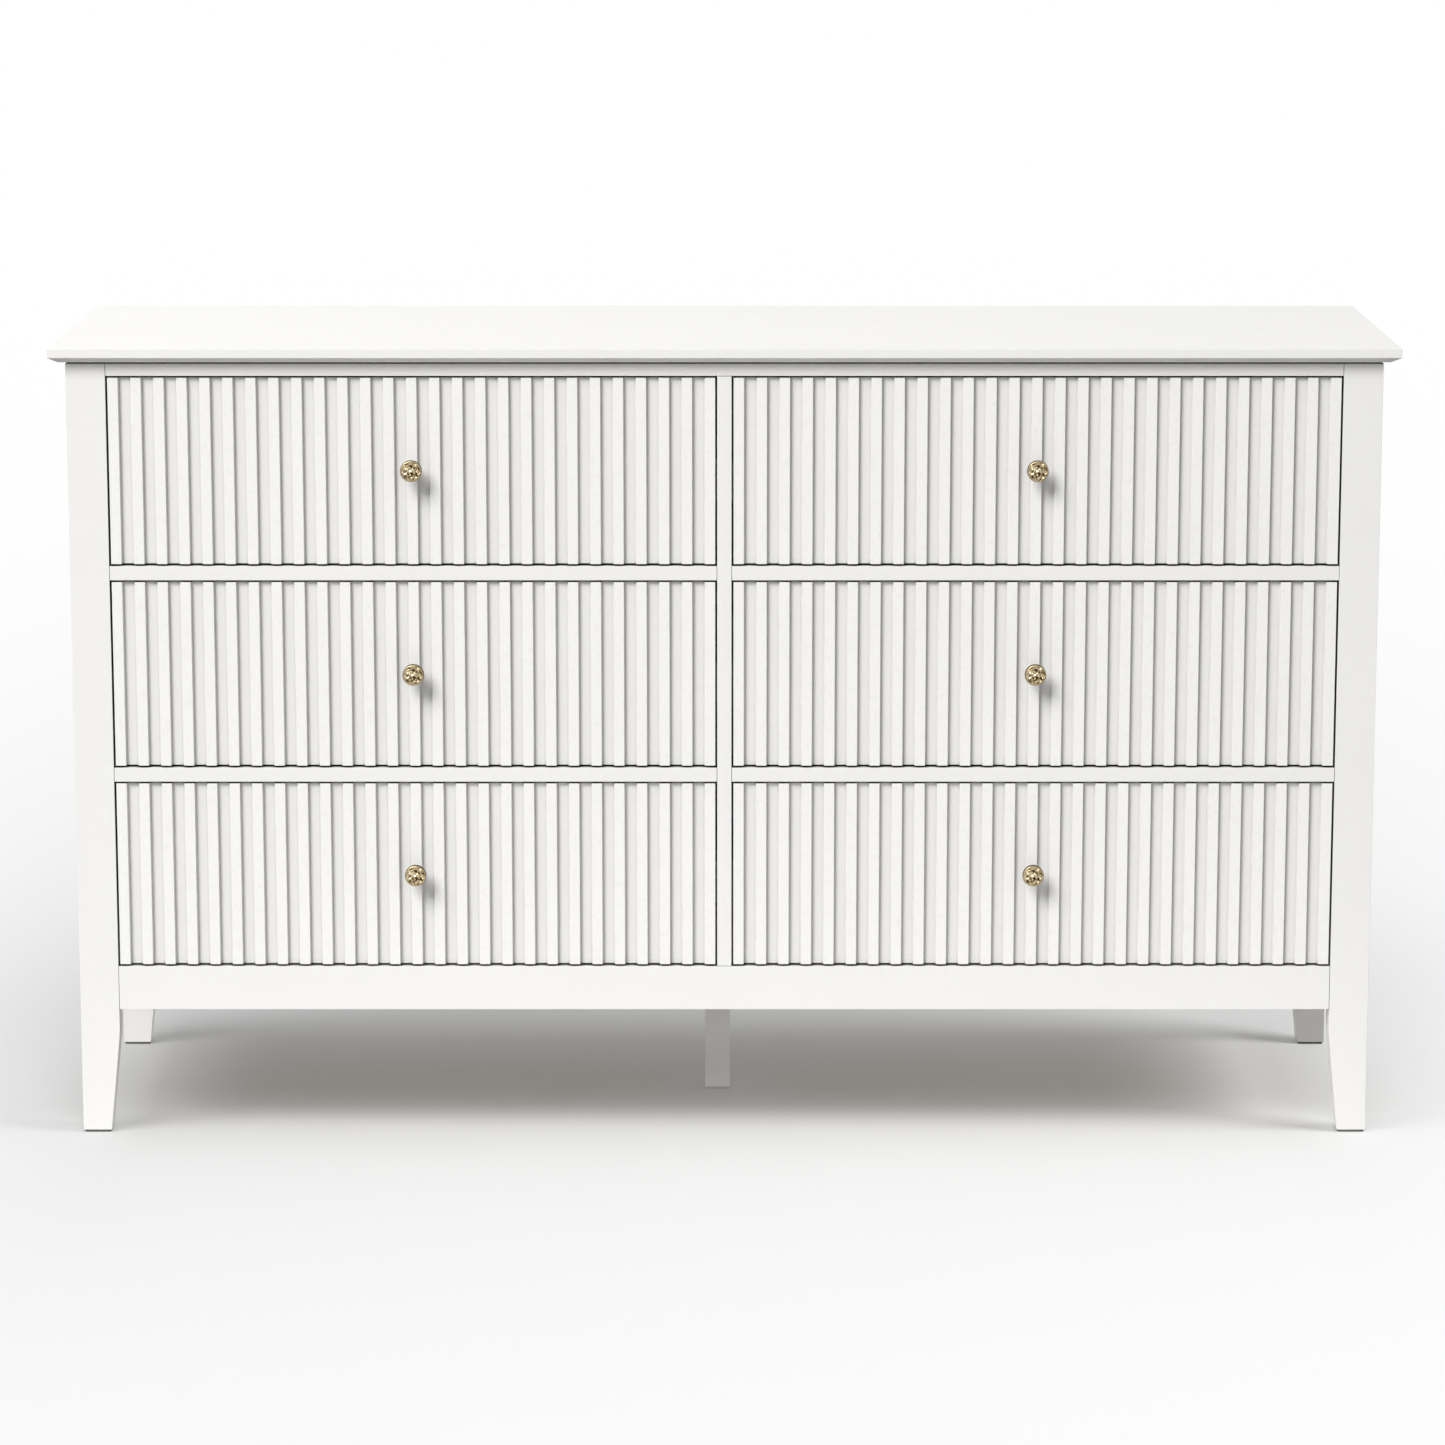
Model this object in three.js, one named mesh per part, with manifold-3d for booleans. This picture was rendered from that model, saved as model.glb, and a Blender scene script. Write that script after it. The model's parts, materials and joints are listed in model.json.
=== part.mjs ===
// A six-drawer dresser with fluted drawer fronts: a painted post-and-panel carcass on four
// tapered legs, a middle support leg, and six inset drawers on side-mounted slides.
//
// Units are millimetres and +Z is up. The front faces -Y. The origin is on the floor, under the
// middle of the bounding box, which runs from the knobs to the back of the top panel.

import * as THREE from 'three';
import { mergeVertices } from 'three/addons/utils/BufferGeometryUtils.js';
import Module from 'manifold-3d';

const wasm = await Module();
wasm.setup();

// ---------------------------------------------------------------------------------------------
// Driving dimensions
// ---------------------------------------------------------------------------------------------

const HEIGHT = 842;
const CARCASS_DEPTH = 384;
const GROUND_CLEARANCE = 135;
const APRON_HEIGHT = 47;
const RAIL_HEIGHT = 15;
const RAIL_DEPTH = 60;
const FACE_THICKNESS = 18;
const SEAM = { width: 0.5, depth: 1.5 }; // the eased corner that shows where two boards meet
const REVEAL = { height: 2, depth: 3 }; // the shadow line cut round the carcass under the top
const ROWS = [ 'bottom', 'middle', 'top' ];
const COLUMNS = [ { name: 'left', side: - 1 }, { name: 'right', side: 1 } ];

const TOP = { width: 1400, depth: 400, thickness: 15, chamferRun: 10, chamferRise: 5.5 };
const LEG = { width: 41, depth: 25, footWidth: 30, curveTop: 118, curveCorner: 109, curveFoot: 100 };
const GLIDE = { width: 28, depth: 23, height: 2.5, corner: 3, cornerSteps: 3 };
const OPENING = { width: 635, height: 200 };
const PARTITION_THICKNESS = 15;
const SIDE_PANEL = { thickness: 15, recess: 5, tongueThickness: 6, tongueDepth: 6 };
const GROOVE_CLEARANCE = 0.25; // round a tongue or a board held in a groove
const CLEAT_HEIGHT = 80;
const BACK_PANEL = { thickness: 3, recess: 3, clearance: 0.5 };
const BACK_RAIL = { thickness: 19, topHeight: 50, bottomHeight: 47 };
const STRETCHER = { width: 60, thickness: 18 };
const MIDDLE_LEG = { size: 27, offset: - 7.25, setBack: 173 };
const SLIDE = { length: 350, height: 45, depth: 9.5, gauge: 1.5, setBack: 21 };

const FRONT_PANEL = { gap: 2, setBack: 1, thickness: 18 };
const FLUTE = { ribs: 27, pitchWidth: 11.2, slant: 0.8, depth: 5 };
const BOX = { sideGap: 13, length: 350, height: 145, lift: 15, board: 12 };
const BOTTOM = { thickness: 5, lift: 8, tongue: 6 };
const KNOB = { radius: 11.25, length: 24, rise: 3, segments: 20, curveSteps: 2 };
const KNOB_HOLE = { radius: 2.5, segments: 12 };

// ---------------------------------------------------------------------------------------------
// Levels and planes that follow from them
// ---------------------------------------------------------------------------------------------

const FRONT = ( KNOB.length - FRONT_PANEL.setBack - CARCASS_DEPTH ) / 2; // front plane of the legs
const BACK = FRONT + CARCASS_DEPTH;
const FRAME_TOP = HEIGHT - TOP.thickness;
const FIRST_FLOOR = GROUND_CLEARANCE + APRON_HEIGHT;
const ROW_PITCH = OPENING.height + RAIL_HEIGHT;
const STILE_HALF = PARTITION_THICKNESS / 2;
const LEG_INNER = STILE_HALF + OPENING.width;
const LEG_OUTER = LEG_INNER + LEG.width;
const COLUMN_CENTRE = STILE_HALF + OPENING.width / 2;
const BACK_PANEL_FRONT = BACK - BACK_PANEL.recess - BACK_PANEL.thickness;
const BACK_RAIL_FRONT = BACK_PANEL_FRONT - BACK_RAIL.thickness;
const TOP_RAIL_FLOOR = FRAME_TOP - RAIL_HEIGHT;
const SLIDE_FLOOR = BOX.lift + ( BOX.height - SLIDE.height ) / 2; // above an opening's floor

const rowFloor = ( row ) => FIRST_FLOOR + row * ROW_PITCH;

// ---------------------------------------------------------------------------------------------
// Materials
// ---------------------------------------------------------------------------------------------

const materials = {
	paint: new THREE.MeshStandardMaterial( { color: 0xf4f2ee, roughness: 0.45, metalness: 0 } ),
	birch: new THREE.MeshStandardMaterial( { color: 0xdcc39c, roughness: 0.6, metalness: 0 } ),
	plywood: new THREE.MeshStandardMaterial( { color: 0xe2cda8, roughness: 0.65, metalness: 0 } ),
	hardboard: new THREE.MeshStandardMaterial( { color: 0xefece6, roughness: 0.8, metalness: 0 } ),
	steel: new THREE.MeshStandardMaterial( { color: 0xb9bcc0, roughness: 0.35, metalness: 1 } ),
	brass: new THREE.MeshStandardMaterial( { color: 0xb08d4c, roughness: 0.38, metalness: 1 } ),
	nylon: new THREE.MeshStandardMaterial( { color: 0x8f8c86, roughness: 0.7, metalness: 0 } ),
};

// ---------------------------------------------------------------------------------------------
// Geometry helpers
// ---------------------------------------------------------------------------------------------

function toSolid( geometry ) {

	const bare = geometry.clone();
	bare.deleteAttribute( 'normal' );
	bare.deleteAttribute( 'uv' );
	const merged = mergeVertices( bare );
	return new wasm.Manifold( new wasm.Mesh( {
		numProp: 3,
		vertProperties: merged.attributes.position.array,
		triVerts: new Uint32Array( merged.index.array ),
	} ) );

}

function toGeometry( solid ) {

	const mesh = solid.getMesh();
	const geometry = new THREE.BufferGeometry();
	geometry.setAttribute( 'position', new THREE.BufferAttribute( mesh.vertProperties, 3 ) );
	geometry.setIndex( new THREE.BufferAttribute( mesh.triVerts, 1 ) );
	geometry.computeVertexNormals();
	return geometry;

}

// The first geometry with every one of the others cut out of it.
function cut( geometry, ...cutters ) {

	const remove = ( solid, cutter ) => solid.subtract( toSolid( cutter ) );
	return toGeometry( cutters.reduce( remove, toSolid( geometry ) ) );

}

function join( ...geometries ) {

	return toGeometry( geometries.map( toSolid ).reduce( ( a, b ) => a.add( b ) ) );

}

// A box between two values on each axis.
function block( [ x0, x1 ], [ y0, y1 ], [ z0, z1 ] ) {

	const box = new THREE.BoxGeometry( x1 - x0, y1 - y0, z1 - z0 );
	return box.translate( ( x0 + x1 ) / 2, ( y0 + y1 ) / 2, ( z0 + z1 ) / 2 );

}

function outline( points ) {

	return new THREE.Shape( points.map( ( [ u, v ] ) => new THREE.Vector2( u, v ) ) );

}

function extrude( shape, depth, curveSegments = 6 ) {

	return new THREE.ExtrudeGeometry( shape, { depth, bevelEnabled: false, curveSegments } );

}

// A shape drawn in X and Z, from the front, and run back along Y from y = 0 to y = depth.
function extrudeBack( shape, depth ) {

	return extrude( shape, depth ).rotateX( Math.PI / 2 ).translate( 0, depth, 0 );

}

// A shape drawn in Y and Z, from the side, and run along X with its middle at x = 0.
function extrudeAcross( shape, width ) {

	const turn = new THREE.Matrix4().makeBasis(
		new THREE.Vector3( 0, 1, 0 ), new THREE.Vector3( 0, 0, 1 ), new THREE.Vector3( 1, 0, 0 ),
	);
	return extrude( shape, width ).applyMatrix4( turn ).translate( - width / 2, 0, 0 );

}

function part( name, geometry, material, position = [ 0, 0, 0 ] ) {

	const mesh = new THREE.Mesh( geometry, material );
	mesh.name = name;
	mesh.position.set( ...position );
	return mesh;

}

// ---------------------------------------------------------------------------------------------
// Carcass
// ---------------------------------------------------------------------------------------------

// A slab whose lower edge is chamfered along the front and both ends.
function makeTopPanel() {

	const half = TOP.width / 2;
	const front = - TOP.depth;
	const slab = block( [ - half, half ], [ front, 0 ], [ 0, TOP.thickness ] );
	const wedge = outline( [ [ - 1, - 1 ], [ TOP.chamferRun, - 1 ], [ TOP.chamferRun, 0 ],
		[ 0, TOP.chamferRise ], [ - 1, TOP.chamferRise ] ] );
	const frontWedge = extrudeAcross( wedge, TOP.width + 2 ).translate( 0, front, 0 );
	const endWedges = COLUMNS.map( ( { side } ) => extrudeBack( wedge, TOP.depth + 2 )
		.rotateZ( side > 0 ? Math.PI : 0 )
		.translate( side * half, side > 0 ? 1 : front - 1, 0 ) );
	return part( 'top_panel', cut( slab, frontWedge, ...endWedges ), materials.paint,
		[ 0, BACK, HEIGHT - TOP.thickness ] );

}

// A leg seen from the front: straight outside, and curving into a taper inside below the apron.
// x = 0 is the outer face, and the inner side is towards +x.
function legShape() {

	const taper = ( LEG.width - LEG.footWidth ) / ( LEG.curveCorner - GLIDE.height );
	const shape = new THREE.Shape();
	shape.moveTo( 0, GLIDE.height );
	shape.lineTo( LEG.footWidth, GLIDE.height );
	shape.lineTo( LEG.width - taper * ( LEG.curveCorner - LEG.curveFoot ), LEG.curveFoot );
	shape.quadraticCurveTo( LEG.width, LEG.curveCorner, LEG.width, LEG.curveTop );
	shape.lineTo( LEG.width, FRAME_TOP );
	shape.lineTo( 0, FRAME_TOP );
	shape.closePath();
	return shape;

}

// The side panel's tongue runs in a groove that is open at the leg's top. The reveal is cut in the
// two faces away from it.
function makeLeg( side, grooveInBack ) {

	const middle = SIDE_PANEL.recess + SIDE_PANEL.thickness / 2;
	const half = SIDE_PANEL.tongueThickness / 2 + GROOVE_CLEARANCE;
	const reach = SIDE_PANEL.tongueDepth + GROOVE_CLEARANCE;
	const grooveY = grooveInBack ? [ LEG.depth - reach, LEG.depth + 1 ] : [ - 1, reach ];
	const groove = block( [ middle - half, middle + half ], grooveY,
		[ GROUND_CLEARANCE - GROOVE_CLEARANCE, HEIGHT ] );
	const revealZ = [ FRAME_TOP - REVEAL.height, HEIGHT ];
	const revealY = grooveInBack ? [ - 1, REVEAL.depth ] : [ LEG.depth - REVEAL.depth, LEG.depth + 1 ];
	const faceReveal = block( [ - 1, LEG.width + 1 ], revealY, revealZ );
	const sideReveal = block( [ - 1, REVEAL.depth ], [ - 1, LEG.depth + 1 ], revealZ );
	const leg = cut( extrudeBack( legShape(), LEG.depth ), groove, faceReveal, sideReveal );
	if ( side > 0 ) leg.rotateZ( Math.PI ).translate( 0, LEG.depth, 0 );
	return leg;

}

function makeLegs() {

	return COLUMNS.flatMap( ( { name, side } ) => [ true, false ].map( ( isFront ) => {

		const legName = `${ isFront ? 'front' : 'back' }_${ name }_leg`;
		const grooveInBack = isFront === side < 0; // the half turn of a right leg swaps its groove's side
		const y = isFront ? FRONT : BACK - LEG.depth;
		return part( legName, makeLeg( side, grooveInBack ), materials.paint, [ side * LEG_OUTER, y, 0 ] );

	} ) );

}

// A nylon pad with rounded corners under each tapered foot.
function makeGlides() {

	const { width, depth, height, corner, cornerSteps } = GLIDE;
	const shape = new THREE.Shape();
	shape.absarc( width / 2 - corner, depth / 2 - corner, corner, 0, Math.PI / 2 );
	shape.absarc( corner - width / 2, depth / 2 - corner, corner, Math.PI / 2, Math.PI );
	shape.absarc( corner - width / 2, corner - depth / 2, corner, Math.PI, Math.PI * 1.5 );
	shape.absarc( width / 2 - corner, corner - depth / 2, corner, Math.PI * 1.5, Math.PI * 2 );
	return COLUMNS.flatMap( ( { name, side } ) => [ 'front', 'back' ].map( ( end ) => {

		const pad = extrude( shape, height, cornerSteps );
		const x = side * ( LEG_OUTER - LEG.footWidth / 2 );
		const y = end === 'front' ? FRONT + LEG.depth / 2 : BACK - LEG.depth / 2;
		return part( `${ end }_${ name }_glide`, pad, materials.nylon, [ x, y, 0 ] );

	} ) );

}

// A tongued panel between two legs, with a cleat glued on inside for each drawer slide.
function makeSidePanel( name, side ) {

	const reach = CARCASS_DEPTH / 2 - LEG.depth;
	const tongue = reach + SIDE_PANEL.tongueDepth;
	const half = SIDE_PANEL.thickness / 2;
	const thin = SIDE_PANEL.tongueThickness / 2;
	const section = outline( [ [ - half, - reach ], [ - thin, - reach ], [ - thin, - tongue ],
		[ thin, - tongue ], [ thin, - reach ], [ half, - reach ],
		[ half, reach ], [ thin, reach ], [ thin, tongue ],
		[ - thin, tongue ], [ - thin, reach ], [ - half, reach ] ] );
	const panel = extrude( section, FRAME_TOP - GROUND_CLEARANCE ).translate( 0, 0, GROUND_CLEARANCE );
	const centre = LEG_OUTER - SIDE_PANEL.recess - half;
	const cleatX = [ side * ( LEG_INNER - centre ), - side * ( half - 1 ) ].sort( ( a, b ) => a - b );
	const cleats = ROWS.map( ( _, row ) => {

		const middle = rowFloor( row ) + SLIDE_FLOOR + SLIDE.height / 2;
		return block( cleatX, [ - reach, reach ], [ middle - CLEAT_HEIGHT / 2, middle + CLEAT_HEIGHT / 2 ] );

	} );
	const revealX = [ side * ( half - REVEAL.depth ), side * ( half + 1 ) ].sort( ( a, b ) => a - b );
	const reveal = block( revealX, [ - reach - 1, reach + 1 ], [ FRAME_TOP - REVEAL.height, HEIGHT ] );
	return part( `${ name }_side_panel`, cut( join( panel, ...cleats ), reveal ), materials.paint,
		[ side * centre, ( FRONT + BACK ) / 2, 0 ] );

}

// The upright board between the two columns, notched round the rails above it.
function makePartition() {

	const back = BACK_PANEL_FRONT - FRONT;
	const backRail = BACK_RAIL_FRONT - FRONT;
	const backRailFloor = FRAME_TOP - BACK_RAIL.topHeight;
	const shape = outline( [ [ FACE_THICKNESS, FIRST_FLOOR ], [ back, FIRST_FLOOR ], [ back, backRailFloor ],
		[ backRail, backRailFloor ], [ backRail, FRAME_TOP ], [ RAIL_DEPTH, FRAME_TOP ],
		[ RAIL_DEPTH, TOP_RAIL_FLOOR ], [ FACE_THICKNESS, TOP_RAIL_FLOOR ] ] );
	const board = extrudeAcross( shape, PARTITION_THICKNESS );
	return part( 'centre_partition', board, materials.paint, [ 0, FRONT, 0 ] );

}

// A board of the face frame, with its front corners eased at both ends: u runs along the board
// and v runs back from its face.
function faceBoard( length, depth ) {

	const half = length / 2;
	return outline( [ [ - half + SEAM.width, 0 ], [ half - SEAM.width, 0 ], [ half, SEAM.depth ],
		[ half, depth ], [ - half, depth ], [ - half, SEAM.depth ] ] );

}

function makeFaceFrame() {

	const reveal = block( [ - LEG_OUTER, LEG_OUTER ], [ - 1, REVEAL.depth ],
		[ RAIL_HEIGHT - REVEAL.height, RAIL_HEIGHT + 1 ] );
	const topRail = cut( extrude( faceBoard( 2 * LEG_INNER, RAIL_DEPTH ), RAIL_HEIGHT ), reveal );
	const apron = extrude( faceBoard( 2 * LEG_INNER, FACE_THICKNESS ), APRON_HEIGHT );
	const stileHeight = TOP_RAIL_FLOOR - FIRST_FLOOR;
	const stile = extrude( faceBoard( stileHeight, FACE_THICKNESS ), PARTITION_THICKNESS )
		.translate( 0, 0, - STILE_HALF ).rotateY( - Math.PI / 2 );
	return [
		part( 'front_top_rail', topRail, materials.paint, [ 0, FRONT, TOP_RAIL_FLOOR ] ),
		part( 'front_apron', apron, materials.paint, [ 0, FRONT, GROUND_CLEARANCE ] ),
		part( 'centre_stile', stile, materials.paint, [ 0, FRONT, FIRST_FLOOR + stileHeight / 2 ] ),
	];

}

// The rails under the middle and top rows of drawers, one to a column.
function makeDividerRails() {

	const levels = [ 'lower', 'upper' ];
	return COLUMNS.flatMap( ( { name, side } ) => levels.map( ( level, index ) => {

		const rail = extrude( faceBoard( OPENING.width, RAIL_DEPTH ), RAIL_HEIGHT );
		return part( `${ name }_${ level }_divider_rail`, rail, materials.paint,
			[ side * COLUMN_CENTRE, FRONT, rowFloor( index + 1 ) - RAIL_HEIGHT ] );

	} ) );

}

function makeBack() {

	const rail = ( height ) => block( [ - LEG_INNER, LEG_INNER ], [ 0, BACK_RAIL.thickness ], [ 0, height ] );
	const panelHalf = LEG_INNER - BACK_PANEL.clearance;
	const panel = block( [ - panelHalf, panelHalf ], [ 0, BACK_PANEL.thickness ],
		[ GROUND_CLEARANCE, FRAME_TOP ] );
	return [
		part( 'back_top_rail', rail( BACK_RAIL.topHeight ), materials.paint,
			[ 0, BACK_RAIL_FRONT, FRAME_TOP - BACK_RAIL.topHeight ] ),
		part( 'back_bottom_rail', rail( BACK_RAIL.bottomHeight ), materials.paint,
			[ 0, BACK_RAIL_FRONT, GROUND_CLEARANCE ] ),
		part( 'back_panel', panel, materials.hardboard, [ 0, BACK_PANEL_FRONT, 0 ] ),
	];

}

// The board that ties the apron to the back rail under the partition, and the leg below it.
function makeMiddleSupport() {

	const half = STRETCHER.width / 2;
	const under = FIRST_FLOOR - STRETCHER.thickness;
	const length = BACK_RAIL_FRONT - FRONT - FACE_THICKNESS;
	const stretcher = block( [ - half, half ], [ 0, length ], [ under, FIRST_FLOOR ] );
	const legHalf = MIDDLE_LEG.size / 2;
	const leg = block( [ - legHalf, legHalf ], [ 0, MIDDLE_LEG.size ], [ 0, under ] );
	return [
		part( 'floor_stretcher', stretcher, materials.paint, [ 0, FRONT + FACE_THICKNESS, 0 ] ),
		part( 'middle_support_leg', leg, materials.paint,
			[ MIDDLE_LEG.offset, FRONT + MIDDLE_LEG.setBack, 0 ] ),
	];

}

// The cabinet half of a slide: a channel, open towards the drawer, which is towards +x.
function slideSection() {

	const { height, depth, gauge } = SLIDE;
	return outline( [ [ 0, 0 ], [ depth, 0 ], [ depth, gauge ], [ gauge, gauge ],
		[ gauge, height - gauge ], [ depth, height - gauge ], [ depth, height ], [ 0, height ] ] );

}

function makeSlides() {

	const section = slideSection();
	const makeSlide = ( column, rowName, row, wall ) => {

		const channel = extrudeBack( section, SLIDE.length );
		if ( wall.side > 0 ) channel.rotateZ( Math.PI ).translate( 0, SLIDE.length, 0 );
		const x = column.side * COLUMN_CENTRE + wall.side * OPENING.width / 2;
		return part( `${ column.name }_${ rowName }_${ wall.name }_slide`, channel, materials.steel,
			[ x, FRONT + SLIDE.setBack, rowFloor( row ) + SLIDE_FLOOR ] );

	};

	const walls = COLUMNS; // each opening has a left and a right wall, as the carcass has columns
	return COLUMNS.flatMap( ( column ) => ROWS.flatMap( ( rowName, row ) =>
		walls.map( ( wall ) => makeSlide( column, rowName, row, wall ) ) ) );

}

// ---------------------------------------------------------------------------------------------
// Drawers. Each is a group with its own origin: x = 0 at the middle of its opening, y = 0 at the
// carcass front and z = 0 on the opening's floor.
// ---------------------------------------------------------------------------------------------

const FRONT_PANEL_BACK = FRONT_PANEL.setBack + FRONT_PANEL.thickness;
const BOX_HALF = OPENING.width / 2 - BOX.sideGap;
const BOTTOM_LEVEL = [ BOX.lift + BOTTOM.lift, BOX.lift + BOTTOM.lift + BOTTOM.thickness ];

// The plan of a fluted front: raised ribs with slanted flanks, and flat flutes between them.
function flutedSection() {

	const half = OPENING.width / 2 - FRONT_PANEL.gap;
	const pitch = ( 2 * half - FLUTE.pitchWidth ) / ( FLUTE.ribs - 1 );
	const face = FRONT_PANEL.setBack;
	const floor = face + FLUTE.depth;
	const faceHalf = ( FLUTE.pitchWidth - FLUTE.slant ) / 2;
	const rootHalf = ( FLUTE.pitchWidth + FLUTE.slant ) / 2;
	const points = [ [ half, FRONT_PANEL_BACK ], [ - half, FRONT_PANEL_BACK ], [ - half, face ] ];
	for ( let i = 0; i < FLUTE.ribs - 1; i ++ ) {

		const rib = - half + FLUTE.pitchWidth / 2 + i * pitch;
		points.push( [ rib + faceHalf, face ], [ rib + rootHalf, floor ] );
		points.push( [ rib + pitch - rootHalf, floor ], [ rib + pitch - faceHalf, face ] );

	}

	points.push( [ half, face ] );
	return outline( points );

}

// The slot that holds the bottom board, with its clearance.
function bottomSlot() {

	const half = BOX_HALF - BOX.board + BOTTOM.tongue + GROOVE_CLEARANCE;
	const back = FRONT_PANEL_BACK + BOX.length - BOX.board + BOTTOM.tongue + GROOVE_CLEARANCE;
	const front = FRONT_PANEL_BACK - BOTTOM.tongue;
	return block( [ - half, half ], [ front, back ],
		[ BOTTOM_LEVEL[ 0 ] - GROOVE_CLEARANCE, BOTTOM_LEVEL[ 1 ] + GROOVE_CLEARANCE ] );

}

function makeDrawerFront() {

	const height = OPENING.height - 2 * FRONT_PANEL.gap;
	const panel = extrude( flutedSection(), height ).translate( 0, 0, FRONT_PANEL.gap );
	const hole = new THREE.CylinderGeometry( KNOB_HOLE.radius, KNOB_HOLE.radius, 3 * FRONT_PANEL.thickness,
		KNOB_HOLE.segments ).translate( 0, 0, knobHeight() );
	return cut( panel, bottomSlot(), hole );

}

// Two sides and a back, joined at the corners and slotted for the bottom board.
function makeDrawerBox() {

	const inner = BOX_HALF - BOX.board;
	const back = FRONT_PANEL_BACK + BOX.length;
	const plan = outline( [ [ - BOX_HALF, FRONT_PANEL_BACK ], [ - inner, FRONT_PANEL_BACK ],
		[ - inner, back - BOX.board ], [ inner, back - BOX.board ], [ inner, FRONT_PANEL_BACK ],
		[ BOX_HALF, FRONT_PANEL_BACK ], [ BOX_HALF, back ], [ - BOX_HALF, back ] ] );
	return cut( extrude( plan, BOX.height ).translate( 0, 0, BOX.lift ), bottomSlot() );

}

function makeDrawerBottom() {

	const half = BOX_HALF - BOX.board + BOTTOM.tongue;
	const front = FRONT_PANEL_BACK - BOTTOM.tongue + GROOVE_CLEARANCE;
	const back = FRONT_PANEL_BACK + BOX.length - BOX.board + BOTTOM.tongue;
	return block( [ - half, half ], [ front, back ], BOTTOM_LEVEL );

}

// The knob's height on its drawer: a little above the middle of the front.
function knobHeight() {

	return OPENING.height / 2 + KNOB.rise;

}

// A round knob: foot, waisted neck and a thick domed head. Its axis is Y and its face is at -y.
function makeKnob() {

	const { radius, length } = KNOB;
	const profile = new THREE.Path();
	profile.moveTo( 0, 0 );
	profile.lineTo( radius * 0.5, 0 );
	profile.lineTo( radius * 0.5, length * 0.07 );
	profile.quadraticCurveTo( radius * 0.3, length * 0.2, radius * 0.36, length * 0.5 );
	profile.quadraticCurveTo( radius * 0.45, length * 0.64, radius * 0.94, length * 0.72 );
	profile.quadraticCurveTo( radius, length * 0.73, radius, length * 0.8 );
	profile.lineTo( radius, length * 0.92 );
	profile.quadraticCurveTo( radius, length * 0.98, radius * 0.88, length );
	profile.lineTo( 0, length );
	return new THREE.LatheGeometry( profile.getPoints( KNOB.curveSteps ), KNOB.segments ).rotateX( Math.PI );

}

function makeDrawer( columnName, side, rowName, row ) {

	const name = `${ columnName }_${ rowName }_drawer`;
	const drawer = new THREE.Group();
	drawer.position.set( side * COLUMN_CENTRE, FRONT, rowFloor( row ) );
	drawer.add(
		part( `${ name }_front`, makeDrawerFront(), materials.paint ),
		part( `${ name }_box`, makeDrawerBox(), materials.birch ),
		part( `${ name }_bottom`, makeDrawerBottom(), materials.plywood ),
		part( `${ name }_knob`, makeKnob(), materials.brass, [ 0, FRONT_PANEL.setBack, knobHeight() ] ),
	);
	return drawer;

}

// ---------------------------------------------------------------------------------------------
// Assembly
// ---------------------------------------------------------------------------------------------

const dresser = new THREE.Group();
dresser.add( makeTopPanel(), ...makeLegs(), ...makeGlides() );
dresser.add( ...COLUMNS.map( ( { name, side } ) => makeSidePanel( name, side ) ) );
dresser.add( makePartition(), ...makeFaceFrame(), ...makeDividerRails() );
dresser.add( ...makeBack(), ...makeMiddleSupport(), ...makeSlides() );
for ( const { name, side } of COLUMNS ) {

	ROWS.forEach( ( rowName, row ) => dresser.add( makeDrawer( name, side, rowName, row ) ) );

}

export default dresser;
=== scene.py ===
"""A six-drawer dresser with fluted fronts: its surfaces, hardware and studio, round its CAD frame.

Everything is in metres in the CAD frame: +Z is up, and the drawers face -Y.
"""

import json
import math

import bmesh
import bpy
from mathutils import Matrix, Vector, noise


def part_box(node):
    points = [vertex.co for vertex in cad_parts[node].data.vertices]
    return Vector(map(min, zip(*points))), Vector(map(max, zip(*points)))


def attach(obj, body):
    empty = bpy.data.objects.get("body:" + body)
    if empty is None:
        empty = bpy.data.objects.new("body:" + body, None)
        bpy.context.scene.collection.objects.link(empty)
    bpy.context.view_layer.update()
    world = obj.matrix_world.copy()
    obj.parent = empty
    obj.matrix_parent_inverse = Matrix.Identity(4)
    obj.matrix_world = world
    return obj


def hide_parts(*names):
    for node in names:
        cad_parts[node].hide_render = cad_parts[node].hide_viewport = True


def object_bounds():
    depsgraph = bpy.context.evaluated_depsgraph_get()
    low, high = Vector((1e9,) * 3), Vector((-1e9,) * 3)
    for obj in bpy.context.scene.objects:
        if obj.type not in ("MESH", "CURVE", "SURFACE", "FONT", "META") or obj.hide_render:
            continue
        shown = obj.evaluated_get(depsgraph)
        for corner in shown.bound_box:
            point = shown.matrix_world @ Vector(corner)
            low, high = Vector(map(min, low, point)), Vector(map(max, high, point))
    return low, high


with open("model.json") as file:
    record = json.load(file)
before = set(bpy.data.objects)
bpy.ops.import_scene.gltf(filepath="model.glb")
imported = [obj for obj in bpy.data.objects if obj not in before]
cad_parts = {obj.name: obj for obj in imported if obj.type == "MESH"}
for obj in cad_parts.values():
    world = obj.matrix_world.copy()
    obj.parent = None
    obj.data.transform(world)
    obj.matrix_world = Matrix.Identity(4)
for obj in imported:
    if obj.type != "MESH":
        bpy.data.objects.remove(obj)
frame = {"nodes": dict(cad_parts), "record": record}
CAD_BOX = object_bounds()

MM = 0.001
COLUMNS = ("left", "right")
ROWS = ("bottom", "middle", "top")
DRAWERS = [f"{column}_{row}_drawer" for column in COLUMNS for row in ROWS]

# Camera, with its distance from the front legs, its lens in millimetres and its dip in degrees
CAMERA_X = -0.005
CAMERA_HEIGHT = 1.445
CAMERA_DISTANCE = 5.0
CAMERA_DIP = 10.45
CAMERA_LENS = 120.9
CAMERA_SHIFT = (0.002, -0.05)

# Dome: its strength as light, at the horizon and from DOME_CLIMB up. The camera sees it at 1, and
# reflections see it the DOME_GLOSS share of the way from its strength as light to 1.
DOME_LIGHT = (0.5, 0.51)
DOME_CLIMB = 0.7
DOME_GLOSS = 0.5

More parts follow.
